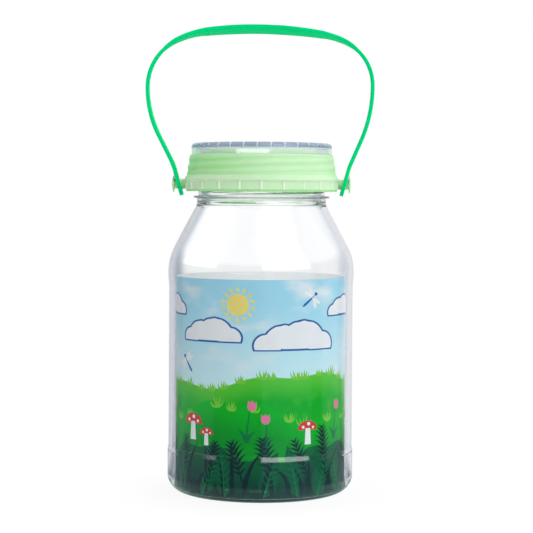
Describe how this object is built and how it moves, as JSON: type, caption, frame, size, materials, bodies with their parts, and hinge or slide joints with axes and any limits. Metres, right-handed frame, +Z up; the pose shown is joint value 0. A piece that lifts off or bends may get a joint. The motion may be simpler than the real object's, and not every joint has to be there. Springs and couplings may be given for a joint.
{
  "type": "bug catcher jar",
  "caption": "Clear collecting jar with a rolled card inside, a screw collar with a clear magnifier cap and breathe holes, and a carry strap that swings on two lugs.",
  "frame": {"origin": "on the jar's axis, in the plane of its standing ring", "axes": "+Z up along the jar's axis, +X through the two strap lugs, -Y towards the front of the card"},
  "size_m": [0.1048, 0.0852, 0.2136],
  "materials": {
    "clear_jar": "clear, glossy, blow moulded",
    "printed_card": "satin print on white card",
    "pale_green_collar": "translucent, satin gloss",
    "clear_cap": "clear, polished",
    "green_strap": "soft satin"
  },
  "bodies": {
    "jar": {"jar_body": "clear_jar", "insert_card": "printed_card"},
    "lid": {"lid_collar": "pale_green_collar"},
    "cap": {"magnifier_cap": "clear_cap"},
    "strap": {"carry_strap": "green_strap"}
  },
  "joints": [
    {"name": "lid_lift", "type": "slide", "parent": "jar", "child": "lid", "axis": [0, 0, 1], "range_m": [0, 0.08]},
    {"name": "cap_lift", "type": "slide", "parent": "lid", "child": "cap", "axis": [0, 0, 1], "range_m": [0, 0.04]},
    {"name": "strap_swing", "type": "hinge", "parent": "lid", "child": "strap", "pos_m": [0, 0, 0.141], "axis": [1, 0, 0], "range_deg": [-130, 138]}
  ]
}
